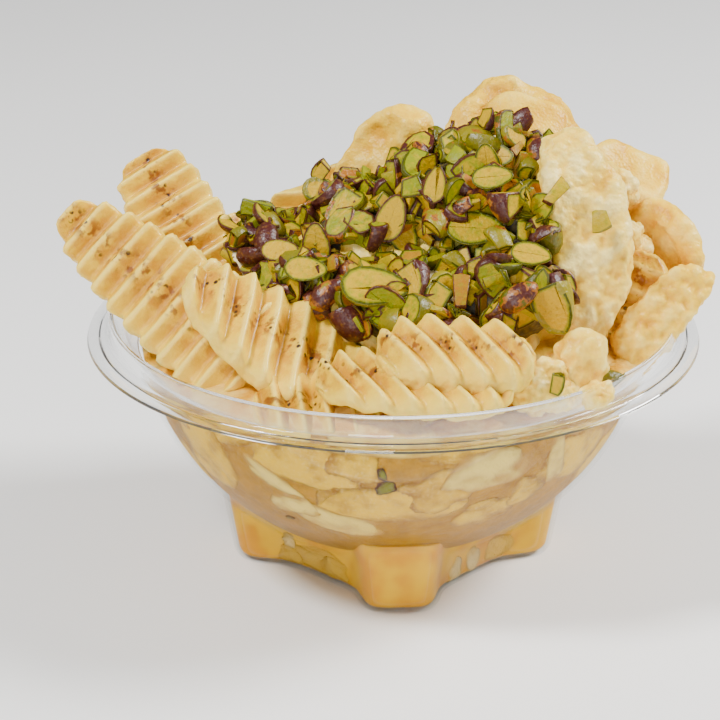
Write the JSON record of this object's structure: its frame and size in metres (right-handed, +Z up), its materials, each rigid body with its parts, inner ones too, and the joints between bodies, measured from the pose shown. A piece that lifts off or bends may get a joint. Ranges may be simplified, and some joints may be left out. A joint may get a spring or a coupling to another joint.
{
  "type": "bowl of clotted cream and banana",
  "caption": "Clear dessert bowl on a foot with lobes, heaped with clotted cream, crinkle-cut banana slices, banana sauce and chopped pistachios.",
  "frame": {"origin": "centre of the flat underside of the bowl", "axes": "+Z up; -Y towards the front, where the bowl is seen with two banana slices lying flat; +X to the right"},
  "size_m": [0.1569, 0.1498, 0.114],
  "materials": {
    "clear_plastic": "clear thin thermoformed plastic, glossy",
    "banana": "moist ripe banana flesh, crinkle cut",
    "cream": "thick pale clotted cream, soft and porous",
    "white_cream": "soft white cream, slightly moist",
    "banana_and_cream": "banana pieces and cream pressed together, moist",
    "banana_sauce": "smooth yellow sauce, glossy",
    "pistachio": "chopped kernels, green to yellow with purple skins"
  },
  "bodies": {
    "root": {"bowl": "clear_plastic", "banana_slice_front_upper": "banana", "banana_slice_front_lower": "banana", "banana_slice_centre": "banana", "banana_slice_left": "banana", "banana_slice_left_rear": "banana", "banana_slice_under": "banana", "banana_slice_back": "banana", "banana_slice_right": "banana", "banana_slice_rear": "banana", "cream_roll_right": "cream", "cream_curl_right": "cream", "cream_leaf_right": "cream", "cream_fold_back": "cream", "cream_tongue_back": "cream", "cream_slab_rear": "cream", "cream_fold_rear": "cream", "cream_slab_front": "white_cream", "cream_dollop": "white_cream", "banana_cream_filling": "banana_and_cream", "banana_sauce": "banana_sauce", "cream_mound": "white_cream", "pistachio_topping": "pistachio"}
  },
  "joints": []
}
